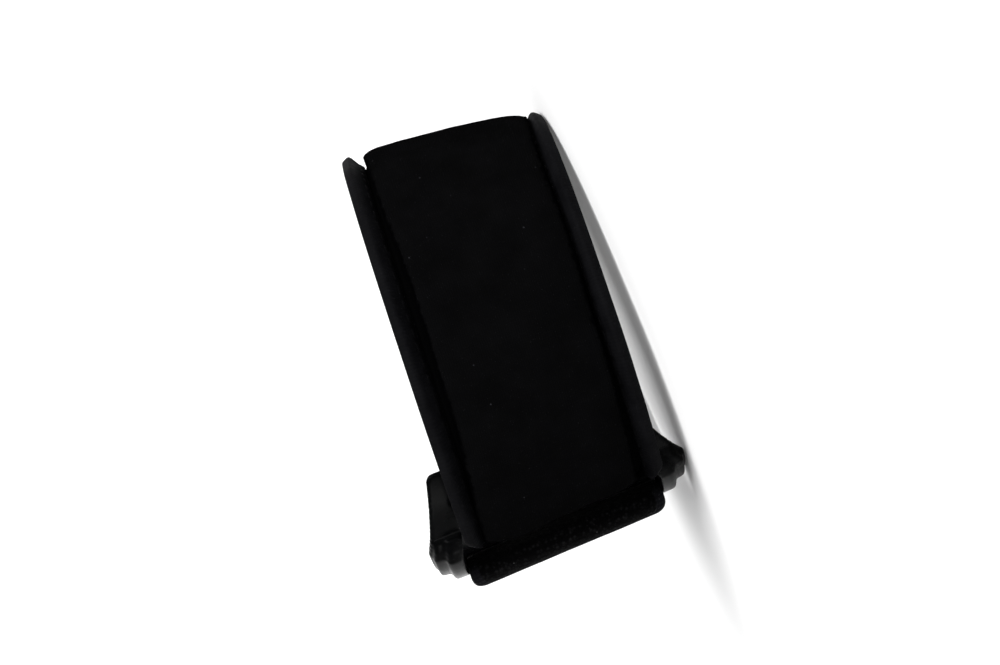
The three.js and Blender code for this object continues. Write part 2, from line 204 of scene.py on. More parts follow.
def on_loop(across, depth, along):
    """Strap coordinates to points of the row's frame, in metres."""
    turn = np.interp(np.mod(along, LOOP_LENGTH), LOOP_REACH, LOOP_TURN)
    a, b = LOOP_LONG / 2, LOOP_SHORT / 2
    out = np.stack([b * np.cos(turn), a * np.sin(turn)], 1)
    out /= np.linalg.norm(out, axis=1)[:, None]
    foot = np.stack([a * np.cos(turn), b * np.sin(turn)], 1)
    flat = foot + out * (depth - across * LEAN)[:, None]
    points = np.column_stack([flat, -across, np.ones(len(flat))])
    return (points @ np.array(REST).T)[:, :3]


def smoothstep(value, low, high):
    share = np.clip((value - low) / (high - low), 0, 1)
    return share * share * (3 - 2 * share)


def table_at(rows, at):
    """The second column of a table at a place in its first, eased between the rows."""
    at = np.asarray(at, float)
    result = np.full(at.shape, float(rows[0][1]))
    for (x0, y0), (x1, y1) in zip(rows, rows[1:]):
        result = np.where(at > x0, y0 + (y1 - y0) * smoothstep(at, x0, x1), result)
    return result


def straight_at(rows, at):
    """The second column of a table at a place in its first, in straight lines."""
    return np.interp(at, *zip(*rows))


def corner_pull(distance, radius):
    inside = np.clip(radius - distance, 0, radius)
    return radius - np.sqrt(radius**2 - inside**2)


def arc(x, y, radius, start_deg, end_deg, steps):
    turn = np.radians(np.linspace(start_deg, end_deg, steps + 1))
    return [(x + radius * math.cos(t), y + radius * math.sin(t)) for t in turn]


def mirrored(points):
    return [(-x, y) for x, y in reversed(points)]


def finely(points, step=SECTION_STEP):
    """A closed outline with points added so that no edge is longer than a step."""
    result = []
    for (x0, y0), (x1, y1) in zip(points, points[1:] + points[:1]):
        count = max(1, math.ceil(math.hypot(x1 - x0, y1 - y0) / step))
        result += [(x0 + (x1 - x0) * i / count, y0 + (y1 - y0) * i / count) for i in range(count)]
    return result


def stations_for(start, end, spacing=FINE, corner_start=0.0, corner_end=0.0):
    """Places from start to end, closer together in rounded corners."""
    turns = np.radians(np.linspace(0, 90, 10))
    near = start + corner_start * (1 - np.cos(turns)) if corner_start else np.array([start])
    far = end - corner_end * (1 - np.cos(turns[::-1])) if corner_end else np.array([end])
    count = max(1, round((far[0] - near[-1]) / spacing))
    return np.concatenate([near, np.linspace(near[-1], far[0], count + 1)[1:-1], far])


def make_object(name, points, faces, material, **places):
    """A mesh object; places are lists of across, along and depth by point, for its weave."""
    mesh = bpy.data.meshes.new(name)
    mesh.from_pydata([tuple(p) for p in points], [], faces)
    for key, place in places.items():
        values = mesh.attributes.new(key, "FLOAT_VECTOR", "POINT")
        values.data.foreach_set("vector", np.asarray(place, np.float32).ravel())
    skin = bmesh.new()
    skin.from_mesh(mesh)
    bmesh.ops.recalc_face_normals(skin, faces=skin.faces)
    skin.to_mesh(mesh)
    skin.free()
    mesh.shade_smooth()
    mesh.materials.append(material)
    piece = bpy.data.objects.new(name, mesh)
    bpy.context.scene.collection.objects.link(piece)
    return piece


def strip(name, section, stations, place, material):
    """A section repeated at each station, bent round the loop, with closed ends."""
    section = np.array(section)
    n, m = len(section), len(stations)
    x, y = np.tile(section[:, 0], m), np.tile(section[:, 1], m)
    station = np.repeat(stations, n)
    across, depth, along = place(x, y, station)
    faces = [(j * n + i, j * n + (i + 1) % n, (j + 1) * n + (i + 1) % n, (j + 1) * n + i)
             for j in range(m - 1) for i in range(n)]
    faces += [tuple(range(n))[::-1], tuple(range((m - 1) * n, m * n))]
    flat, bent = np.column_stack([x, station, y]), np.column_stack([across, along, depth])
    return make_object(name, on_loop(across, depth, along), faces, material, strap=flat, bent=bent)


def worn(across, along, size, scale, seed):
    """A soft unevenness, in millimetres, over a piece."""
    spots = np.column_stack([across / scale, along / scale, np.full(len(across), seed)])
    return np.array([noise.noise(Vector(spot)) for spot in spots]) * size


# Materials

class Sheet:
    """A Principled material and short ways to add nodes to it."""

    def __init__(self, name, color, roughness, specular):
        self.material = bpy.data.materials.new(name)
        self.material.use_nodes = True
        self.tree = self.material.node_tree
        self.shader = self.tree.nodes["Principled BSDF"]
        self.shader.inputs["Base Color"].default_value = (*color, 1)
        self.shader.inputs["Roughness"].default_value = roughness
        self.shader.inputs["Specular IOR Level"].default_value = specular

    def node(self, kind, **settings):
        made = self.tree.nodes.new(kind)
        for key, value in settings.items():
            setattr(made, key, value)
        return made

    def put(self, socket, value):
        if isinstance(value, bpy.types.NodeSocket):
            self.tree.links.new(value, socket)
        else:
            socket.default_value = value

    def math(self, operation, *values):
        made = self.node("ShaderNodeMath", operation=operation)
        for socket, value in zip(made.inputs, values):
            self.put(socket, value)
        return made.outputs[0]

    def strap(self, key="strap"):
        """Across, along and depth, in millimetres: strap before a piece is bent, bent after."""
        parts = self.node("ShaderNodeSeparateXYZ")
        self.put(parts.inputs[0], self.node("ShaderNodeAttribute", attribute_name=key).outputs["Vector"])
        return parts.outputs[0], parts.outputs[1], parts.outputs[2]

    def place(self):
        return self.node("ShaderNodeTexCoord").outputs["Object"]

    def noise(self, size, detail=3.0, rough=0.6):
        """Noise whose features are a size in millimetres."""
        made = self.node("ShaderNodeTexNoise")
        self.put(made.inputs["Vector"], self.place())
        made.inputs["Scale"].default_value = 1 / (size * MM)
        made.inputs["Detail"].default_value = detail
        made.inputs["Roughness"].default_value = rough
        return made.outputs["Fac"]

    def cells(self, size):
        made = self.node("ShaderNodeTexVoronoi", feature="F1")
        self.put(made.inputs["Vector"], self.place())
        made.inputs["Scale"].default_value = 1 / (size * MM)
        return made.outputs["Distance"]

    def ramp(self, value, low, high, to_low=0.0, to_high=1.0):
        made = self.node("ShaderNodeMapRange", clamp=True)
        for socket, number in zip(made.inputs, (value, low, high, to_low, to_high)):
            self.put(socket, number)
        return made.outputs[0]

    def mix(self, share, first, second):
        made = self.node("ShaderNodeMix", data_type="RGBA")
        self.put(made.inputs["Factor"], share)
        for key, color in (("A", first), ("B", second)):
            socket = next(s for s in made.inputs if s.name == key and s.type == "RGBA")
            self.put(socket, (*color, 1) if isinstance(color, tuple) else color)
        return next(s for s in made.outputs if s.type == "RGBA")

    def bump(self, height, distance, strength=1.0, under=None):
        made = self.node("ShaderNodeBump")
        made.inputs["Distance"].default_value = distance * MM
        made.inputs["Strength"].default_value = strength
        self.put(made.inputs["Height"], height)
        if under is not None:
            self.put(made.inputs["Normal"], under)
        return made.outputs["Normal"]

    def finish(self, color=None, roughness=None, normal=None):
        for key, value in (("Base Color", color), ("Roughness", roughness), ("Normal", normal)):
            if value is not None:
                self.put(self.shader.inputs[key], value)
        return self.material


def wave(sheet, value, period, phase=0.0):
    """A sine from 0 to 1 along a coordinate in millimetres."""
    turns = sheet.math("MULTIPLY_ADD", value, 2 * math.pi / period, phase)
    return sheet.math("MULTIPLY_ADD", sheet.math("SINE", turns), 0.5, 0.5)


def near_edge(sheet, across, start, end):
    """From 0 to 1 between two distances from the middle, along a ragged line."""
    ragged = sheet.math("MULTIPLY_ADD", sheet.noise(1.9, 3.0, 0.7), 2.4, -1.2)
    return sheet.ramp(sheet.math("ADD", sheet.math("ABSOLUTE", across), ragged), start, end)


def lint(sheet, size, share):
    """Few light specks."""
    return sheet.ramp(sheet.cells(size), share, share * 0.5)


def knit_cloth():
    """The panel's fine jersey, dull black with a trace of lint."""
    sheet = Sheet("panel_cloth", (0.003, 0.003, 0.0035), 0.8, 0.0)
    across, along, _ = sheet.strap()
    column = sheet.math("FRACT", sheet.math("DIVIDE", across, 0.55))
    side = sheet.math("ABSOLUTE", sheet.math("MULTIPLY_ADD", column, 2.0, -1.0))
    slanted = sheet.math("MULTIPLY_ADD", side, 0.28, along)
    rib = sheet.math("SUBTRACT", 1.0, sheet.math("POWER", side, 3.0))
    rows = sheet.math("MULTIPLY_ADD", wave(sheet, slanted, 0.46), 0.55, 0.45)
    stitch = sheet.math("MULTIPLY", rib, rows)
    broad = sheet.noise(9.0, 2.0)
    fuzz = sheet.noise(0.35, 4.0, 0.7)
    tone = sheet.mix(sheet.ramp(broad, 0.3, 0.7), (0.0017, 0.0017, 0.0018), (0.0024, 0.0024, 0.0026))
    # painted shade: the knit is darkened in the hollows between the stitches
    between = sheet.math("MULTIPLY", sheet.ramp(stitch, 0.3, 0.0), 0.6)
    tone = sheet.mix(between, tone, (0.0006, 0.0006, 0.0008))
    tone = sheet.mix(sheet.math("MULTIPLY", lint(sheet, 5.5, 0.045), 0.5), tone, (0.04, 0.04, 0.045))
    # painted shade: the panel goes nearly black along a ragged line at its side edges, standing in for the
    # shadow in the groove beside the rims
    painted_groove_shade = near_edge(sheet, across, PANEL_HALF - 0.8, PANEL_HALF - 0.2)
    tone = sheet.mix(sheet.math("MULTIPLY", painted_groove_shade, 0.9), tone, (0.0003, 0.0003, 0.0004))
    normal = sheet.bump(stitch, 0.07, 0.8)
    normal = sheet.bump(fuzz, 0.05, 0.5, normal)
    return sheet.finish(tone, sheet.ramp(broad, 0.3, 0.7, 0.7, 0.85), normal)


def lining_cloth():
    """The band's own cloth, brushed on the inside."""
    sheet = Sheet("band_lining", (0.006, 0.006, 0.007), 0.9, 0.0)
    across, along, depth = sheet.strap()
    weave = sheet.math("MULTIPLY", wave(sheet, across, 0.7), wave(sheet, along, 0.62))
    fuzz = sheet.noise(0.5, 5.0, 0.75)
    broad = sheet.noise(14.0, 2.0)
    tone = sheet.mix(sheet.ramp(fuzz, 0.35, 0.7), (0.003, 0.003, 0.0035), (0.009, 0.009, 0.010))
    lighter_patches = sheet.math("MULTIPLY", sheet.ramp(broad, 0.45, 0.75), 0.5)
    tone = sheet.mix(lighter_patches, tone, (0.012, 0.012, 0.013))
    tone = sheet.mix(sheet.math("MULTIPLY", lint(sheet, 4.0, 0.05), 0.5), tone, (0.06, 0.06, 0.06))
    # painted shade: the band's cloth goes near black towards its outer face, which shows only in the
    # grooves between the panel and the rims
    tone = sheet.mix(sheet.ramp(depth, NOSE, BAND_THICK * 0.8), tone, (0.001, 0.001, 0.0011))
    normal = sheet.bump(weave, 0.06, 0.6)
    normal = sheet.bump(fuzz, 0.12, 0.7, normal)
    return sheet.finish(tone, None, normal)


def tape_cloth():
    """The ribbed tape of the rims, a little lighter along the ridge."""
    sheet = Sheet("binding_tape", (0.004, 0.004, 0.005), 0.6, 0.01)
    across, along, _ = sheet.strap()
    rib = wave(sheet, along, 0.8)
    cross = wave(sheet, across, 0.5)
    height = sheet.math("MULTIPLY_ADD", cross, 0.35, rib)
    # lighter in patches along the outer ridge of the rim
    ridge_band = sheet.ramp(sheet.math("ABSOLUTE", across), RIDGE - 0.8, HALF)
    broad = sheet.noise(7.0, 3.0)
    tone = sheet.mix(sheet.ramp(broad, 0.3, 0.7), (0.0022, 0.0022, 0.0026), (0.0045, 0.0045, 0.0052))
    lighter_patches = sheet.math("MULTIPLY", ridge_band, sheet.ramp(broad, 0.35, 0.65, 0.3, 0.8))
    tone = sheet.mix(lighter_patches, tone, (0.006, 0.006, 0.0066))
    # painted shade: the tape is darker in the hollows between its ribs
    tone = sheet.mix(sheet.ramp(height, 0.35, 0.0, 0.0, 0.5), tone, (0.0012, 0.0012, 0.0016))
    foot = HALF - BINDING_COVER
    # painted shade: the tape goes nearly black along a ragged line at its foot, standing in for the shadow
    # in the groove beside the panel
    painted_groove_shade = near_edge(sheet, across, foot + 1.1, foot + 0.3)
    tone = sheet.mix(sheet.math("MULTIPLY", painted_groove_shade, 0.85), tone, (0.0005, 0.0005, 0.0006))
    normal = sheet.bump(height, 0.06, 0.5)
    normal = sheet.bump(sheet.noise(0.3, 4.0), 0.05, 0.5, normal)
    return sheet.finish(tone, sheet.ramp(broad, 0.3, 0.7, 0.55, 0.7), normal)


def loop_cloth():
    """The closing strap's loop pile, speckled where the loops catch the light."""
    sheet = Sheet("loop_pile", (0.004, 0.004, 0.005), 0.8, 0.01)
    across, along, _ = sheet.strap()
    rows = sheet.math("MULTIPLY", wave(sheet, along, 1.6), 0.2)
    loops = sheet.math("SUBTRACT", 1.0, sheet.cells(1.05))
    fuzz = sheet.noise(0.4, 5.0, 0.8)
    height = sheet.math("ADD", sheet.math("MULTIPLY_ADD", fuzz, 0.8, loops), rows)
    edge = sheet.ramp(sheet.math("ABSOLUTE", across), STRAP_WIDTH / 2 - 2.6, STRAP_WIDTH / 2 - 2.2)
    selvedge = sheet.math("MULTIPLY", wave(sheet, along, 0.9), wave(sheet, across, 0.8))
    speckle = sheet.ramp(height, 1.05, 1.6)
    tone = sheet.mix(speckle, (0.0004, 0.0004, 0.0005), (0.0085, 0.0085, 0.009))
    tone = sheet.mix(edge, tone, (0.004, 0.004, 0.005))
    tone = sheet.mix(sheet.math("MULTIPLY", lint(sheet, 3.5, 0.06), 0.5), tone, (0.08, 0.08, 0.08))
    _, around, outwards = sheet.strap("bent")
    # painted shadow: the strap's inner ply is darkened up to its turn round the bar, where it lies in
    # shadow below the panel's front end
    painted_gap_shadow = sheet.math("MULTIPLY", sheet.ramp(outwards, PASS_DEPTH + 2.4, PASS_DEPTH + 0.6),
                       sheet.ramp(around, TURN_AT, TURN_AT - 1.5, 0.0, 0.92))
    tone = sheet.mix(painted_gap_shadow, tone, (0.0002, 0.0002, 0.0002))
    mixed = sheet.math("MULTIPLY_ADD", sheet.math("SUBTRACT", selvedge, height), edge, height)
    normal = sheet.bump(mixed, 0.28, 0.8)
    sheet.shader.inputs["Sheen Weight"].default_value = 0.025
    sheet.shader.inputs["Sheen Roughness"].default_value = 0.5
    return sheet.finish(tone, None, normal)


def tab_cloth():
    """Plain woven webbing."""
    sheet = Sheet("tab_webbing", (0.006, 0.006, 0.007), 0.65, 0.05)
    across, along, _ = sheet.strap()
    weave = sheet.math("MULTIPLY", wave(sheet, across, 1.5), wave(sheet, along, 1.2))
    other = sheet.math("MULTIPLY", wave(sheet, across, 1.5, math.pi), wave(sheet, along, 1.2, math.pi))
    height = sheet.math("MAXIMUM", weave, other)
    # painted shade and highlight: the weave is darker in its hollows and lighter on its raised threads
    tone = sheet.mix(sheet.ramp(height, 0.1, 0.6), (0.0018, 0.0018, 0.0022), (0.009, 0.009, 0.011))
    normal = sheet.bump(height, 0.16, 0.9)
    normal = sheet.bump(sheet.noise(0.25, 4.0), 0.04, 0.5, normal)
    return sheet.finish(tone, None, normal)


def moulded_plastic():
    """Satin moulding with a fine flow grain, dulled and scratched where it is handled."""
    sheet = Sheet("buckle_plastic", (0.0015, 0.0016, 0.0018), 0.3, 0.025)
    broad = sheet.noise(11.0, 3.0)
    grain = sheet.noise(0.5, 3.0)
    scratch = sheet.node("ShaderNodeTexNoise")
    stretch = sheet.node("ShaderNodeMapping")
    stretch.inputs["Scale"].default_value = (2600, 240, 900)
    sheet.put(stretch.inputs["Vector"], sheet.place())
    sheet.put(scratch.inputs["Vector"], stretch.outputs[0])
    scratch.inputs["Scale"].default_value = 1.0
    marks = sheet.ramp(scratch.outputs["Fac"], 0.66, 0.72)
    scuffed = sheet.math("MULTIPLY", marks, 0.18)
    rough = sheet.math("ADD", sheet.ramp(broad, 0.3, 0.75, 0.2, 0.36), scuffed)
    tone = sheet.mix(sheet.ramp(broad, 0.3, 0.7), (0.0008, 0.0009, 0.001), (0.0017, 0.0018, 0.002))
    tone = sheet.mix(sheet.math("MULTIPLY", marks, 0.35), tone, (0.016, 0.016, 0.018))
    normal = sheet.bump(grain, 0.012, 0.4)
    normal = sheet.bump(sheet.math("SUBTRACT", 1.0, marks), 0.01, 0.6, normal)
    return sheet.finish(tone, rough, normal)


def thread():
    sheet = Sheet("thread", (0.002, 0.002, 0.0024), 0.6, 0.03)
    twist = sheet.noise(0.2, 2.0)
    tone = sheet.mix(twist, (0.0008, 0.0008, 0.001), (0.0035, 0.0035, 0.004))
    return sheet.finish(tone, None, sheet.bump(twist, 0.05, 0.8))


def floor_finish():
    sheet = Sheet("floor", (0.93, 0.93, 0.93), 0.9, 0.0)
    tone = sheet.mix(sheet.noise(900.0, 2.0), (0.92, 0.92, 0.92), (0.94, 0.94, 0.94))
    return sheet.finish(tone)


PANEL_CLOTH = knit_cloth()
LINING = lining_cloth()
TAPE = tape_cloth()
LOOP_PILE = loop_cloth()
WEBBING = tab_cloth()
PLASTIC = moulded_plastic()
THREAD = thread()


# Pieces

def lift_at(along):
    return table_at(LIFT, along)


def flare_at(across, along):
    flat_at = FREE_LAP - BAND_BACK
    upright = smoothstep(along, flat_at, flat_at + RIM_FLAT_RUN)
    return RIM_RISE * upright * smoothstep(np.abs(across), RIDGE - RIM_RUN, RIDGE)


def on_band(x, y, along):
    """The rim flares outwards, and the corners of the band are rounded."""
    foot = HALF - BINDING_COVER - GAP
    end = np.minimum(BAND_FRONT - along, along + BAND_BACK)
    kept = 1 - corner_pull(end, BAND_CORNER) / (HALF - foot)
    outer = np.abs(x) > foot
    across = np.where(outer, np.sign(x) * (foot + (np.abs(x) - foot) * kept), x)
    return across, y + lift_at(along) + flare_at(x, along), along


BAND_STATIONS = stations_for(-BAND_BACK, BAND_FRONT, FINE, BAND_CORNER, BAND_CORNER)


def base_band():
    foot = HALF - BINDING_COVER - GAP
    bite = BINDING_THICK + GAP
    edge = [(foot - 0.5, 0), (foot, bite * 0.6), (foot + 0.2, bite)]
    edge += arc(RIDGE, NOSE, NOSE - bite, -90, 90, 8)
    edge += [(foot + 0.2, BAND_THICK - bite), (foot, BAND_THICK - bite * 0.6), (foot - 0.5, BAND_THICK)]
    section = finely(edge + mirrored(edge))

    def place(x, y, along):
        across, depth, along = on_band(x, y, along)
        end = np.minimum(BAND_FRONT - along, along + BAND_BACK)
        squeeze = END_SQUEEZE * corner_pull(end, END_SQUEEZE_RUN)
        depth = depth + squeeze * np.where(y < NOSE, 1, -1)
        inner = y < 0.01
        depth = depth + np.where(inner, worn(x, along, LINING_WAVES, 9.0, 3.0), 0)
        return across, depth, along

    piece = strip("padded_band", section, BAND_STATIONS, place, LINING)
    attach(piece, "root")
    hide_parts("base_band")


def edge_binding(side, word):
    foot = HALF - BINDING_COVER
    lip = BINDING_THICK / 2
    section = arc(foot + lip, lip, lip, 180, 270, 4)
    section += arc(RIDGE, NOSE, NOSE, -90, 90, 14)
    section += arc(foot + lip, BAND_THICK - lip, lip, 90, 270, 6)
    section += arc(RIDGE, NOSE, NOSE - BINDING_THICK, 90, -90, 10)
    section += arc(foot + lip, lip, lip, 90, 180, 4)[:-1]
    section = finely(section, 0.6)

    def place(x, y, along):
        across, depth, along = on_band(x, y, along)
        gathered = (np.abs(x) < RIDGE - 0.5) * (y > NOSE)
        pucker = PUCKER * np.sin(2 * np.pi * along / STITCH_PITCH) * gathered
        lane = np.zeros(len(x)) + side * 40
        sway = worn(lane, along, RIM_SWAY, 11.0, 7.0) + worn(lane, along, RIM_RIPPLE, 3.4, 9.0)
        pinch = (NOSE - y) * RIM_PINCH * smoothstep(np.abs(x), RIDGE - 1.2, HALF)
        return across, depth + pucker + pinch + sway * smoothstep(np.abs(x), foot, RIDGE), along

    points = section if side > 0 else mirrored(section)
    piece = strip("rim_" + word, points, BAND_STATIONS, place, TAPE)
    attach(piece, "root")
    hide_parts("edge_binding_" + word)


def outer_panel():
    crown = np.array(PANEL_CROWN[::-1])
    spread = np.linspace(0, len(crown) - 1, 6 * (len(crown) - 1) + 1)
    rows = np.arange(len(crown))
    out = np.interp(spread, rows, crown[:, 0])
    high = np.interp(spread, rows, crown[:, 1])
    high = np.convolve(np.pad(high, 3, "edge"), np.ones(7) / 7, "valid")
    top = [(o * PANEL_HALF, h * PANEL_THICK) for o, h in zip(out[::-1], high[::-1])]
    section = [(PANEL_BEVEL - PANEL_HALF, 0), (PANEL_HALF - PANEL_BEVEL, 0)] + top
    section = finely(section, 0.9)
    stations = stations_for(-PANEL_BACK, BAND_FRONT, FINE, PANEL_CORNER, PANEL_CORNER)

    def place(x, y, along):
        end = np.minimum(BAND_FRONT - along, along + PANEL_BACK)
        shift = PANEL_DRIFT * table_at(PANEL_WANDER, along)
        corners = np.sign(x) * corner_pull(end, PANEL_CORNER) * (np.abs(x) > 0.8 * PANEL_HALF)
        across = shift + x * table_at(PANEL_BREADTH, along) - corners
        shape = 1 - 0.38 * corner_pull(end, PANEL_CORNER) / PANEL_CORNER
        soft = worn(x, along, PANEL_WAVES, 10.0, 1.0) + worn(x, along, PANEL_RIPPLE, 3.5, 5.0)
        bulge = BULGE * np.exp(-((x - BULGE_AT) / BULGE_WIDE)**2)
        bulge = bulge + worn(x, np.zeros(len(x)), 0.35, 5.0, 13.0)
        along = along + bulge * smoothstep(along, BAND_FRONT - BULGE_RUN, BAND_FRONT)
        depth = BAND_THICK + GAP + y * shape + lift_at(along) + soft * (y > PANEL_THICK * 0.3)
        return across, depth, along

    piece = strip("front_panel", section, stations, place, PANEL_CLOTH)
    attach(piece, "root")
    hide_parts("outer_panel")


def bezier(points, count):
    """Points of a cubic, its first end left out."""
    p = np.array(points, float)
    t = np.linspace(0, 1, count + 1)[1:, None]
    return (1 - t)**3 * p[0] + 3 * (1 - t)**2 * t * p[1] + 3 * (1 - t) * t**2 * p[2] + t**3 * p[3]


def turn_points(x, y, radius, start, end, count):
    angle = np.linspace(start, end, count + 1)[1:]
    return np.column_stack([x + radius * np.cos(angle), y + radius * np.sin(angle)])


def route_frame(route, spacing):
    """Distances along a route, and its points and directions there, evenly spaced."""
    steps = np.hypot(*np.diff(route, axis=0).T)
    reach = np.concatenate([[0], np.cumsum(steps)])
    count = round(reach[-1] / spacing)
    at = np.linspace(0, reach[-1], count + 1)
    foot = np.column_stack([np.interp(at, reach, route[:, k]) for k in (0, 1)])
    way = np.gradient(foot, axis=0)
    way /= np.linalg.norm(way, axis=1)[:, None]
    return at, foot, way


def strap_route():
    """The middle line of the closing strap, in along and depth."""
    onto = BAND_THICK + GAP + STRAP_THICK / 2
    low = STRAP_DIP + STRAP_THICK / 2
    ply = STRAP_THICK + GAP
    mid = (FAR_END + TURN_AT + BAR_WIDTH) / 2
    ease, near = (FAR_END - mid) / 2, (mid - TURN_AT) / 2
    top = PASS_DEPTH + 2 * TURN_RADIUS
    last, end = FAR_END + SEWN_LAP, FAR_END + FREE_LAP
    settle = (end - last) / 2
    return np.vstack([
        [(last, onto), (FAR_END, onto)],
        bezier([(FAR_END, onto), (FAR_END - ease, onto), (mid + ease, low), (mid, low)], 60),
        bezier([(mid, low), (mid - near, low), (TURN_AT + near, PASS_DEPTH), (TURN_AT, PASS_DEPTH)], 60),
        turn_points(TURN_AT, PASS_DEPTH + TURN_RADIUS, TURN_RADIUS, -math.pi / 2, -math.pi * 1.5, 80),
        bezier([(TURN_AT, top), (TURN_AT + near, top), (mid - near, low + ply), (mid, low + ply)], 60),
        bezier([(mid, low + ply), (mid + ease, low + ply), (FAR_END - ease, onto + ply),
                (FAR_END, onto + ply)], 60),
        [(last, onto + ply)],
        bezier([(last, onto + ply), (last + settle, onto + ply), (end - settle, onto), (end, onto)], 40),
    ])


def fold_pull(along, depth):
    """How far the edges draw in on the outside of the turn."""
    outside = PASS_DEPTH + 2 * TURN_RADIUS + STRAP_THICK / 2
    spread = smoothstep(along, TURN_AT, TURN_AT + FOLD_CORNER_RUN)
    return (1 - spread) * corner_pull(np.maximum(0, outside - depth), FOLD_CORNER)


def closing_strap():
    route = strap_route()
    reach, foot, way = route_frame(route, 0.6)
    total = reach[-1]
    edge = arc(STRAP_WIDTH / 2 - STRAP_THICK / 2, 0, STRAP_THICK / 2, -90, 90, 8)
    section = finely(edge + mirrored(edge), 1.0)

    def place(x, y, at):
        row = np.rint(at / total * (len(reach) - 1)).astype(int)
        along = foot[row, 0] - way[row, 1] * y
        depth = foot[row, 1] + way[row, 0] * y
        pull = corner_pull(total - at, FREE_END_CORNER) + fold_pull(along, depth)
        shift = BUCKLE_SHIFT * smoothstep(FAR_END - along, 0, FAR_END - TURN_AT)
        ripple = worn(x + STRAP_WIDTH, at, STRAP_RIPPLE, 9.0, 11.0) * (at > total * 0.45)
        pull = pull - SNUG * (1 - smoothstep(np.abs(along - TURN_AT), *SNUG_RUN))
        across = shift + x - np.sign(x) * pull * np.minimum(1, np.abs(x) / 12)
        return across, depth + ripple, along

    piece = strip("closing_strap_cloth", section, reach, place, LOOP_PILE)
    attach(piece, "root")
    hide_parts("closing_strap")


def plate_half(along):
    reach = along - PLATE_START
    corners = corner_pull(reach, PLATE_TOP_CORNER) + corner_pull(PLATE_LENGTH - reach, PLATE_CORNER)
    return BUCKLE_WIDTH / 2 * straight_at(PLATE_OUTLINE, reach / PLATE_LENGTH) - corners


def plate_middle(along):
    """The plate's neck leans towards the wide edge."""
    full_from = PLATE_START + PLATE_OUTLINE[-2][0] * PLATE_LENGTH
    return BUCKLE_SHIFT - NECK_LEAN * np.maximum(0, full_from - along)


def tab_turn():
    """Radius, along and depth of the turn that the tab makes round the plate's upper bar."""
    radius = PLATE_THICK / 2 + GAP + TAB_THICK / 2
    return radius, BAND_FRONT - PLATE_TUCK / 2 - radius, PLATE_THICK / 2


def plate_parts():
    """The plate as the pieces round its slot, which the remesh fuses."""
    radius, slot_start, _ = tab_turn()
    slot_end = slot_start + radius + TAB_THICK / 2 + GAP
    inner = TAB_WIDTH / 2 + SLOT_MARGIN
    slot_middle = plate_middle(slot_start)
    box = finely([(-1, 0), (1, 0), (1, 1), (-1, 1)], 0.05)

    def whole(x, y, along):
        return plate_middle(along) + x * plate_half(along), y * PLATE_THICK, along

    def beside(side):
        def place(x, y, along):
            start = slot_middle + side * inner
            end = plate_middle(along) + side * plate_half(along)
            return start + (side * x + 1) / 2 * (end - start), y * PLATE_THICK, along
        return place

    end = PLATE_START + PLATE_LENGTH
    return [
        strip("plate_a", box, stations_for(PLATE_START, slot_start, 0.8, PLATE_TOP_CORNER), whole, PLASTIC),
        strip("plate_b", box, stations_for(slot_end, end, 0.8, 0, PLATE_CORNER), whole, PLASTIC),
        strip("plate_c", box, stations_for(slot_start - 1, slot_end + 1, 0.8), beside(1), PLASTIC),
        strip("plate_d", box, stations_for(slot_start - 1, slot_end + 1, 0.8), beside(-1), PLASTIC),
    ]


def cheek(side):
    start, end = BAND_FRONT + CHEEK_START, TURN_AT + CHEEK_END
    root = PLATE_THICK / 2
    height = BAR_DEPTH + BAR_THICK / 2 - root

    def place(x, y, along):
        held = np.minimum(along, TURN_AT + PLATE_END - PLATE_CORNER)
        out = plate_half(held) - CHEEK_INSET - CHEEK_WIDTH * (1 - np.abs(x))
        high = straight_at(CHEEK_PROFILE, (along - start) / (end - start))
        return plate_middle(held) + side * out, root + y * high * height, along

    section = finely([tuple(p) for p in CHEEK_SECTION], 0.12)
    points = section if side > 0 else mirrored(section)
    return strip("cheek", points, stations_for(start, end, 0.6), place, PLASTIC)


def turn_bar():
    span = BUCKLE_WIDTH / 2 - CHEEK_INSET - CHEEK_WIDTH / 2
    radius = BAR_THICK / 2
    section = arc(BAR_DEPTH, TURN_AT, radius, -180, 0, 12)
    section += arc(BAR_DEPTH, TURN_AT + BAR_WIDTH - BAR_THICK, radius, 0, 180, 12)

    def place(x, y, at):
        return BUCKLE_SHIFT + at, x, y

    return strip("bar", section, np.linspace(-span, span, 60), place, PLASTIC)


def joined(name, parts):
    """Several objects as one."""
    with bpy.context.temp_override(active_object=parts[0], selected_editable_objects=parts):
        bpy.ops.object.join()
    parts[0].name = name
    parts[0].data.name = name
    return parts[0]


def applied(piece):
    """A piece with its modifiers turned into its mesh."""
    shaped = bpy.data.meshes.new_from_object(piece.evaluated_get(bpy.context.evaluated_depsgraph_get()))
    piece.modifiers.clear()
    piece.data = shaped
    return piece


def buckle():
    piece = joined("slip_buckle", plate_parts() + [cheek(1), cheek(-1), turn_bar()])
    remesh = piece.modifiers.new("fuse", "REMESH")
    remesh.mode = "VOXEL"
    remesh.voxel_size = MOULD_VOXEL * MM
    smooth = piece.modifiers.new("round", "SMOOTH")
    smooth.factor = 0.5
    smooth.iterations = 6
    applied(piece)
    piece.data.shade_smooth()
    piece.data.materials.clear()
    piece.data.materials.append(PLASTIC)
    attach(piece, "root")
    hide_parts("buckle")


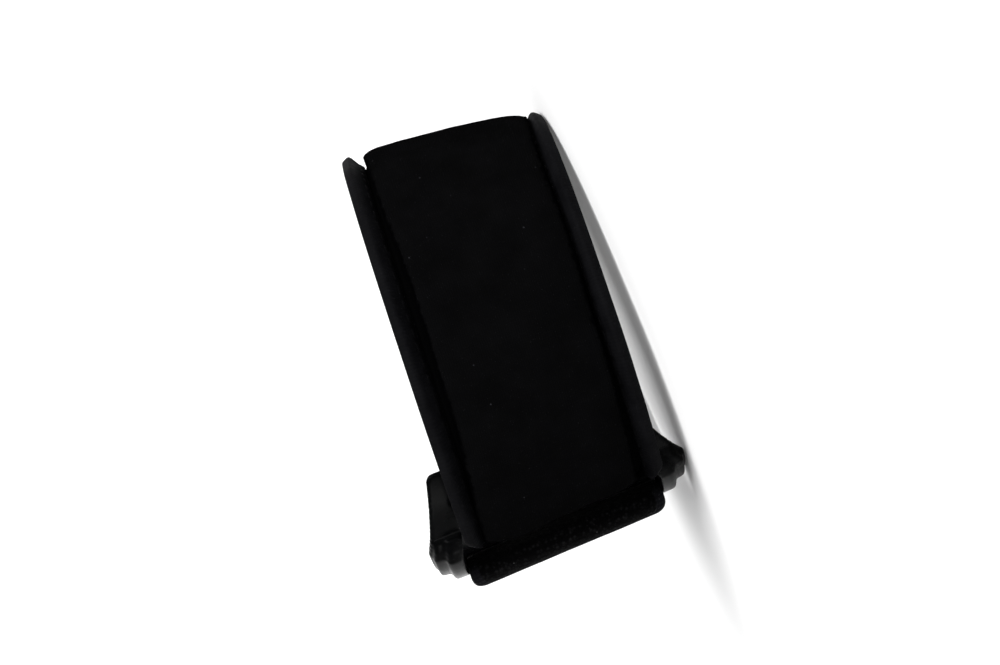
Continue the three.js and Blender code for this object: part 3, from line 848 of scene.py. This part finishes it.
def buckle_tab():
    radius, turn_along, turn_depth = tab_turn()
    upper, lower = TAB_THICK * 1.5 + GAP, TAB_THICK / 2
    blend = TAB_SEWN / 2
    both = PLATE_START - blend
    top, bottom = turn_depth + radius, turn_depth - radius
    route = np.vstack([
        [(TAB_START, upper), (both, upper)],
        bezier([(both, upper), (both + blend / 2, upper), (PLATE_START - blend / 2, top),
                (PLATE_START, top)], 20),
        [(turn_along, top)],
        turn_points(turn_along, turn_depth, radius, math.pi / 2, -math.pi / 2, 40),
        [(PLATE_START, bottom)],
        bezier([(PLATE_START, bottom), (PLATE_START - blend / 2, bottom), (both + blend / 2, lower),
                (both, lower)], 20),
        [(TAB_START, lower)],
    ])
    reach, foot, way = route_frame(route, 0.5)
    middle = plate_middle(turn_along)
    edge = arc(TAB_WIDTH / 2 - TAB_THICK / 2, 0, TAB_THICK / 2, -90, 90, 6)
    section = finely(edge + mirrored(edge), 1.5)

    def place(x, y, at):
        row = np.rint(at / reach[-1] * (len(reach) - 1)).astype(int)
        return middle + x, foot[row, 1] + way[row, 0] * y, foot[row, 0] - way[row, 1] * y

    piece = strip("tab_webbing_loop", section, reach, place, WEBBING)
    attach(piece, "root")
    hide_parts("buckle_tab")


# Stitching: short rounded threads laid end to end

def stitches(name, lines):
    """One mesh of stitches. Each line gives its places and the surface that it lies on."""
    sides, rings = 8, 7
    points, faces, strap = [], [], []
    for spots, surface in lines:
        for spot in spots:
            t = np.linspace(-1, 1, rings)
            size = STITCH_RADIUS * np.sqrt(np.clip(1 - np.abs(t)**3, 0.02, 1))
            dip = -STITCH_RADIUS * 1.3 * np.abs(t)**3
            angle = np.linspace(0, 2 * np.pi, sides, endpoint=False)
            first = len(points)
            ring_t, ring_a = np.repeat(t, sides), np.tile(angle, rings)
            wide = np.repeat(size, sides) * np.cos(ring_a)
            high = np.repeat(size, sides) * np.sin(ring_a) + np.repeat(dip, sides)
            run = ring_t * STITCH_LENGTH / 2
            across = spot[0] + wide
            along = spot[1] + run
            depth = surface(across, along) + high
            points += list(on_loop(across, depth, along))
            strap += list(np.column_stack([across, along, depth]))
            faces += [(first + j * sides + i, first + j * sides + (i + 1) % sides,
                       first + (j + 1) * sides + (i + 1) % sides, first + (j + 1) * sides + i)
                      for j in range(rings - 1) for i in range(sides)]
            faces += [tuple(range(first, first + sides))[::-1],
                      tuple(range(first + (rings - 1) * sides, first + rings * sides))]
    piece = make_object(name, points, faces, THREAD, strap=strap)
    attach(piece, "root")


def places(start, end, pitch):
    return np.arange(start + pitch, end - pitch / 2, pitch)


def rim_stitches():
    row = HALF - BINDING_COVER + STITCH_INSET

    def outside(across, along):
        return BAND_THICK + lift_at(along) + flare_at(across, along) + STITCH_PROUD

    def inside(across, along):
        return lift_at(along) + flare_at(across, along) - STITCH_PROUD

    spots = places(-BAND_BACK, BAND_FRONT, STITCH_PITCH)
    for side, word in ((1, "narrow"), (-1, "wide")):
        line = [(side * row, along) for along in spots]
        stitches("rim_stitches_" + word, [(line, outside), (line, inside)])


base_band()
edge_binding(1, "narrow")
edge_binding(-1, "wide")
outer_panel()
closing_strap()
buckle()
buckle_tab()
rim_stitches()


# Floor, light and camera

def cove():
    """A pale floor that sweeps up into a backdrop behind the object."""
    run, back, bend_radius, tall, wide = 3.0, 1.1, 0.7, 2.4, 3.0
    profile = [(-run, 0.0), (back, 0.0)]
    profile += [(back + bend_radius * math.sin(t), bend_radius * (1 - math.cos(t)))
                for t in np.linspace(0, math.pi / 2, 24)[1:]]
    profile += [(back + bend_radius, tall)]
    points = [(x, y, z) for x in (-wide, wide) for y, z in profile]
    n = len(profile)
    faces = [(i, n + i, n + i + 1, i + 1) for i in range(n - 1)]
    mesh = bpy.data.meshes.new("floor")
    mesh.from_pydata(points, [], faces)
    mesh.shade_smooth()
    mesh.materials.append(floor_finish())
    floor = bpy.data.objects.new("floor", mesh)
    bpy.context.scene.collection.objects.link(floor)


def aimed(name, light, place, target=(0, 0, 0.03)):
    lamp = bpy.data.objects.new(name, light)
    lamp.location = place
    lamp.rotation_euler = (Vector(target) - Vector(place)).to_track_quat("-Z", "Y").to_euler()
    bpy.context.scene.collection.objects.link(lamp)


def soft_sun(name, place, spread_deg, strength):
    light = bpy.data.lights.new(name, "SUN")
    light.angle = math.radians(spread_deg)
    light.energy = strength
    aimed(name, light, place)


def soft_box(name, place, size, power):
    light = bpy.data.lights.new(name, "AREA")
    light.shape = "DISK"
    light.size = size
    light.energy = power
    aimed(name, light, place)


def lights():
    """Soft light from above the camera in a dim white surround, so that blacks stay black."""
    soft_sun("key", (0.5, -0.8, 0.75), 50, 3.5)
    soft_box("buckle_side", (-1.0, -0.3, 0.1), 0.3, 1.8)
    soft_box("top_edge", (0.5, -0.35, 0.5), 0.3, 0.4)
    world = bpy.data.worlds.new("studio")
    world.use_nodes = True
    sky = world.node_tree.nodes["Background"]
    sky.inputs["Color"].default_value = (1, 1, 1, 1)
    sky.inputs["Strength"].default_value = 0.4
    bpy.context.scene.world = world
    bpy.context.scene.view_settings.view_transform = "Standard"


def camera():
    tilt = math.radians(STRAP_TILT_DEG)
    rise = math.radians(CAMERA_RISE_DEG)
    back = Vector((0, -math.cos(rise), math.sin(rise)))
    narrow = Vector((0, -math.sin(rise), -math.cos(rise)))  # the strap's axis, to its narrow edge
    down = Vector((-1, 0, 0))  # round the front, towards the buckle
    right = narrow * math.cos(tilt) + down * math.sin(tilt)
    up = narrow * math.sin(tilt) - down * math.cos(tilt)
    aim = CAMERA_AIM + (up - right) * CAMERA_SHIFT
    turn = Matrix((right, up, back)).transposed().to_4x4()
    place = Matrix.Translation(aim + back * CAMERA_DISTANCE) @ turn
    lens = bpy.data.cameras.new("camera")
    lens.lens = CAMERA_LENS * CAMERA_ZOOM
    lens.clip_start = 0.01
    eye = bpy.data.objects.new("camera", lens)
    rest = REST @ place
    spot, spin, _ = rest.decompose()
    eye.matrix_world = Matrix.Translation(spot) @ spin.to_matrix().to_4x4()
    bpy.context.scene.collection.objects.link(eye)
    bpy.context.scene.camera = eye


cove()
lights()
camera()
